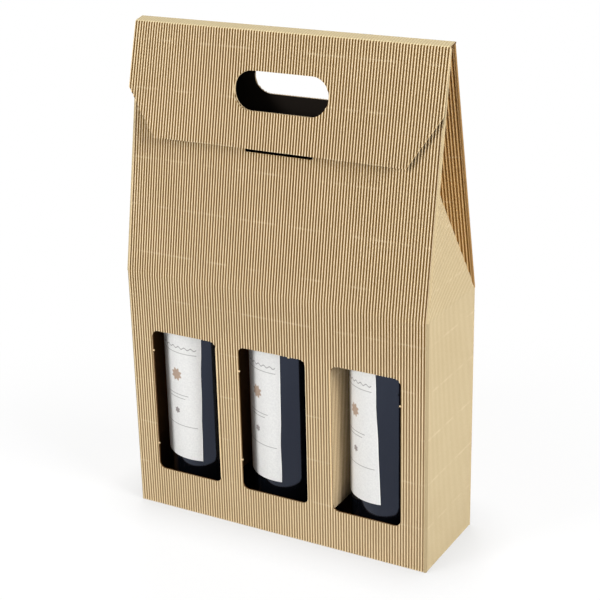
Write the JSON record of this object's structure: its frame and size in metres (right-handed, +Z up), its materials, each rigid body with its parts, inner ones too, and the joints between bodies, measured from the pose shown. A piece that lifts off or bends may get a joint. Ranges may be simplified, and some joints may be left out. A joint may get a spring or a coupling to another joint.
{
  "type": "bottle gift box",
  "caption": "Kraft open-flute card carton with a hand hole, windows, folded-in gussets and a closing flap with a tongue, holding upright wine bottles.",
  "frame": {"origin": "middle of the underside of the carton", "axes": "+Z up, front with the windows faces -Y, +X to the right seen from the front"},
  "size_m": [0.27, 0.088, 0.409],
  "materials": {
    "kraft_board": "matte open-flute kraft",
    "bottle_glass": "glossy near-black glass, filled",
    "label_paper": "smooth off-white label paper",
    "capsule_foil": "satin dark foil"
  },
  "bodies": {
    "carton": {"carton": "kraft_board", "bottle_left": "bottle_glass", "label_left": "label_paper", "capsule_left": "capsule_foil", "bottle_middle": "bottle_glass", "label_middle": "label_paper", "capsule_middle": "capsule_foil", "bottle_right": "bottle_glass", "label_right": "label_paper", "capsule_right": "capsule_foil"},
    "closing_flap": {"closing_flap": "kraft_board"}
  },
  "joints": [
    {"name": "flap_hinge", "type": "hinge", "parent": "carton", "child": "closing_flap", "pos_m": [0, -0.0006, 0.409], "axis": [-1, 0, 0], "range_deg": [0, 180]}
  ]
}
